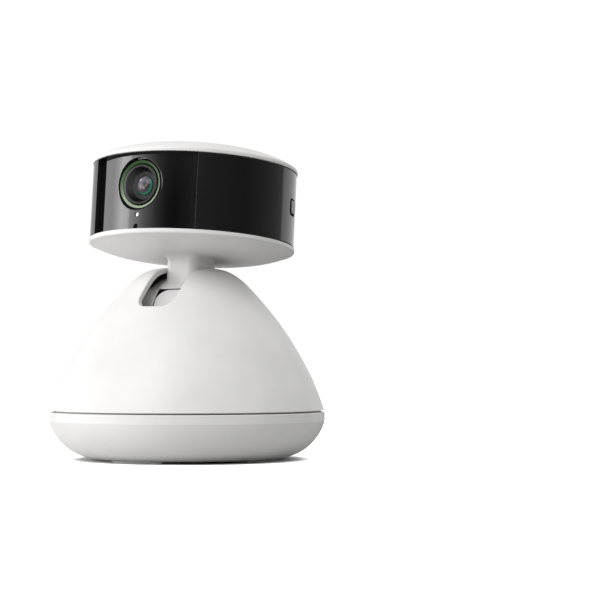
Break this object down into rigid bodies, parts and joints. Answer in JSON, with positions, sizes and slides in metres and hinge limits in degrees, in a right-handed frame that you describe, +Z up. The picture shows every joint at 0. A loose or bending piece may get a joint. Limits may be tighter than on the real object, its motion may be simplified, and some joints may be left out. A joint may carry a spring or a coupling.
{
  "type": "pet camera",
  "caption": "Pan and tilt pet camera: drum shaped head with a recessed gloss front and lens on a neck that tilts in the slot of a cone shaped turning stand.",
  "frame": {"origin": "centre of the base on the resting surface", "axes": "+Z up, the front (lens side) faces -Y, +X is the side with the button"},
  "size_m": [0.1054, 0.1054, 0.1197],
  "materials": {
    "white_plastic": "fine matte",
    "inner_plastic": "matte",
    "gloss_black": "gloss",
    "black_plastic": "matte",
    "button_grey": "satin",
    "green_ring": "satin",
    "lens_glass": "polished",
    "light_guide": "frosted",
    "led_epoxy": "clear",
    "grey_rubber": "matte",
    "black_rubber": "matte",
    "zinc_steel": "plated",
    "spring_steel": "satin",
    "ballast_steel": "phosphated",
    "tin_can": "tinned",
    "bronze": "sintered",
    "acetal": "natural acetal",
    "circuit_board": "solder mask",
    "chip_black": "polished silicon",
    "speaker_black": "paper cone and steel frame"
  },
  "bodies": {
    "base": {"base_dish": "white_plastic", "foot_pads": "grey_rubber", "ballast_plate": "ballast_steel", "pan_motor": "zinc_steel", "motor_screws": "zinc_steel", "power_board": "circuit_board", "power_board_screws": "zinc_steel", "usb_c_inlet": "tin_can", "usb_c_tongue": "black_plastic", "thrust_washer": "bronze", "retaining_clip": "spring_steel"},
    "pan_pinion": {"pan_pinion": "acetal"},
    "pan_stage": {"cone_shell": "white_plastic", "turntable": "inner_plastic", "pan_gear": "acetal", "pan_bush": "bronze", "turntable_screws": "zinc_steel", "tilt_stand": "inner_plastic", "stand_screws": "zinc_steel", "tilt_drum_front": "white_plastic", "tilt_drum_rear": "white_plastic", "tilt_motor": "zinc_steel", "motor_cradle": "black_plastic", "trunnion_pin": "spring_steel", "speaker": "speaker_black"},
    "head": {"neck": "white_plastic", "neck_screws": "zinc_steel", "tilt_shaft": "spring_steel", "trunnion_bush": "bronze", "head_bottom": "white_plastic", "head_screws": "zinc_steel", "top_cap": "white_plastic", "side_band": "gloss_black", "front_panel": "gloss_black", "lens_bezel": "black_plastic", "lens_ring": "green_ring", "lens_barrel": "black_plastic", "lens_front_glass": "lens_glass", "lens_rear_element": "lens_glass", "lens_mount": "black_plastic", "image_sensor": "chip_black", "sensor_board": "circuit_board", "ir_board": "circuit_board", "ir_leds": "led_epoxy", "status_light": "light_guide", "mic_boot": "black_rubber", "microphone": "tin_can", "main_board": "circuit_board", "main_board_screws": "zinc_steel", "radio_shield": "tin_can", "antenna": "circuit_board", "button_switch": "black_plastic", "button_board": "circuit_board"},
    "button": {"side_button": "button_grey", "switch_plunger": "black_plastic"}
  },
  "joints": [
    {"name": "pan", "type": "hinge", "parent": "base", "child": "pan_stage", "pos_m": [0, 0, 0.0191], "axis": [0, 0, 1], "range_deg": [-170, 170]},
    {"name": "pan_drive", "type": "hinge", "parent": "base", "child": "pan_pinion", "pos_m": [-0.0248, 0, 0.0152], "axis": [0, 0, 1], "range_deg": [-709, 709]},
    {"name": "tilt", "type": "hinge", "parent": "pan_stage", "child": "head", "pos_m": [0, 0, 0.0488], "axis": [-1, 0, 0], "range_deg": [-28, 17]},
    {"name": "button_press", "type": "slide", "parent": "head", "child": "button", "axis": [-0.9578, -0.2862, 0.026], "range_m": [0, 0.0006], "stiffness_N_per_m": 400}
  ],
  "couplings": [
    {"joint": "pan_drive", "follows": "pan", "ratio": -4.1667}
  ]
}
